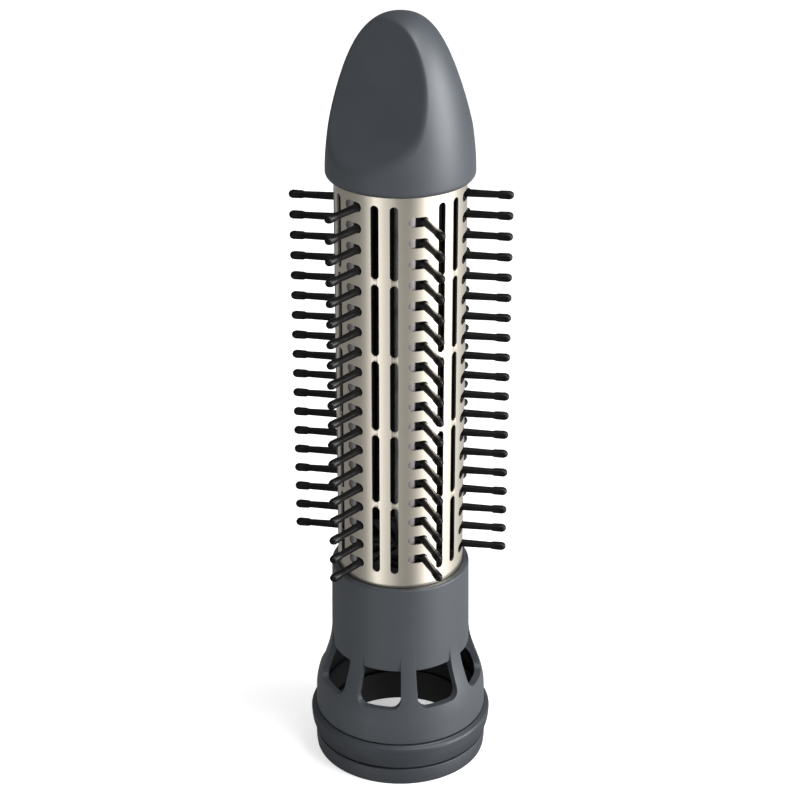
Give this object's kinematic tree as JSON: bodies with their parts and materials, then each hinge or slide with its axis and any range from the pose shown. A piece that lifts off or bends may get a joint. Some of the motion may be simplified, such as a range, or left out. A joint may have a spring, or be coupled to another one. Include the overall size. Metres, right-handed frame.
{
  "type": "hot air brush head",
  "caption": "Round hot air brush head with a slotted metal barrel, retracting bristle combs turned by a rounded grip cap, and a flared base with air windows.",
  "frame": {"origin": "centre of the base's bottom face, on the barrel's axis", "axes": "+Z along the barrel from the base to the cap; -Y is the side with the first visible finger hollow, +X to its right"},
  "size_m": [0.0506, 0.048, 0.1864],
  "materials": {
    "housing_plastic": "satin moulded",
    "barrel_metal": "satin champagne anodised",
    "bristle_plastic": "gloss",
    "inner_plastic": "matt",
    "steel": "plain",
    "bronze": "sintered",
    "seal_rubber": "matt"
  },
  "bodies": {
    "housing": {"collar": "housing_plastic", "coupling_ring": "housing_plastic", "lock_ring": "housing_plastic", "barrel": "barrel_metal", "barrel_seal": "seal_rubber", "bearing_spider": "inner_plastic", "lower_bush": "bronze", "detent_spring": "steel", "lower_guide_plate": "inner_plastic", "upper_guide_plate": "inner_plastic", "collar_screw_1": "steel", "collar_screw_2": "steel", "collar_screw_3": "steel", "collar_screw_4": "steel"},
    "knob": {"cap": "housing_plastic", "cap_hub": "inner_plastic", "hub_screw": "steel", "shaft": "steel", "upper_scroll": "inner_plastic", "lower_scroll": "inner_plastic", "thrust_washer": "steel", "retaining_clip": "steel"},
    "comb_1": {"comb_1": "bristle_plastic"},
    "comb_2": {"comb_2": "bristle_plastic"},
    "comb_3": {"comb_3": "bristle_plastic"},
    "comb_4": {"comb_4": "bristle_plastic"},
    "comb_5": {"comb_5": "bristle_plastic"},
    "comb_6": {"comb_6": "bristle_plastic"}
  },
  "joints": [
    {"name": "cap_turn", "type": "hinge", "parent": "housing", "child": "knob", "pos_m": [0, 0, 0.1495], "axis": [0, 0, 1], "range_deg": [0, 180]},
    {"name": "comb_1_slide", "type": "slide", "parent": "housing", "child": "comb_1", "axis": [0.3576, -0.9339, 0], "range_m": [-0.0104, 0]},
    {"name": "comb_2_slide", "type": "slide", "parent": "housing", "child": "comb_2", "axis": [0.9876, -0.1573, 0], "range_m": [-0.0104, 0]},
    {"name": "comb_3_slide", "type": "slide", "parent": "housing", "child": "comb_3", "axis": [0.63, 0.7766, 0], "range_m": [-0.0104, 0]},
    {"name": "comb_4_slide", "type": "slide", "parent": "housing", "child": "comb_4", "axis": [-0.3576, 0.9339, 0], "range_m": [-0.0104, 0]},
    {"name": "comb_5_slide", "type": "slide", "parent": "housing", "child": "comb_5", "axis": [-0.9876, 0.1573, 0], "range_m": [-0.0104, 0]},
    {"name": "comb_6_slide", "type": "slide", "parent": "housing", "child": "comb_6", "axis": [-0.63, -0.7766, 0], "range_m": [-0.0104, 0]}
  ],
  "couplings": [
    {"joint": "comb_1_slide", "follows": "cap_turn", "m_per_rad": -0.00331},
    {"joint": "comb_2_slide", "follows": "cap_turn", "m_per_rad": -0.00331},
    {"joint": "comb_3_slide", "follows": "cap_turn", "m_per_rad": -0.00331},
    {"joint": "comb_4_slide", "follows": "cap_turn", "m_per_rad": -0.00331},
    {"joint": "comb_5_slide", "follows": "cap_turn", "m_per_rad": -0.00331},
    {"joint": "comb_6_slide", "follows": "cap_turn", "m_per_rad": -0.00331}
  ]
}
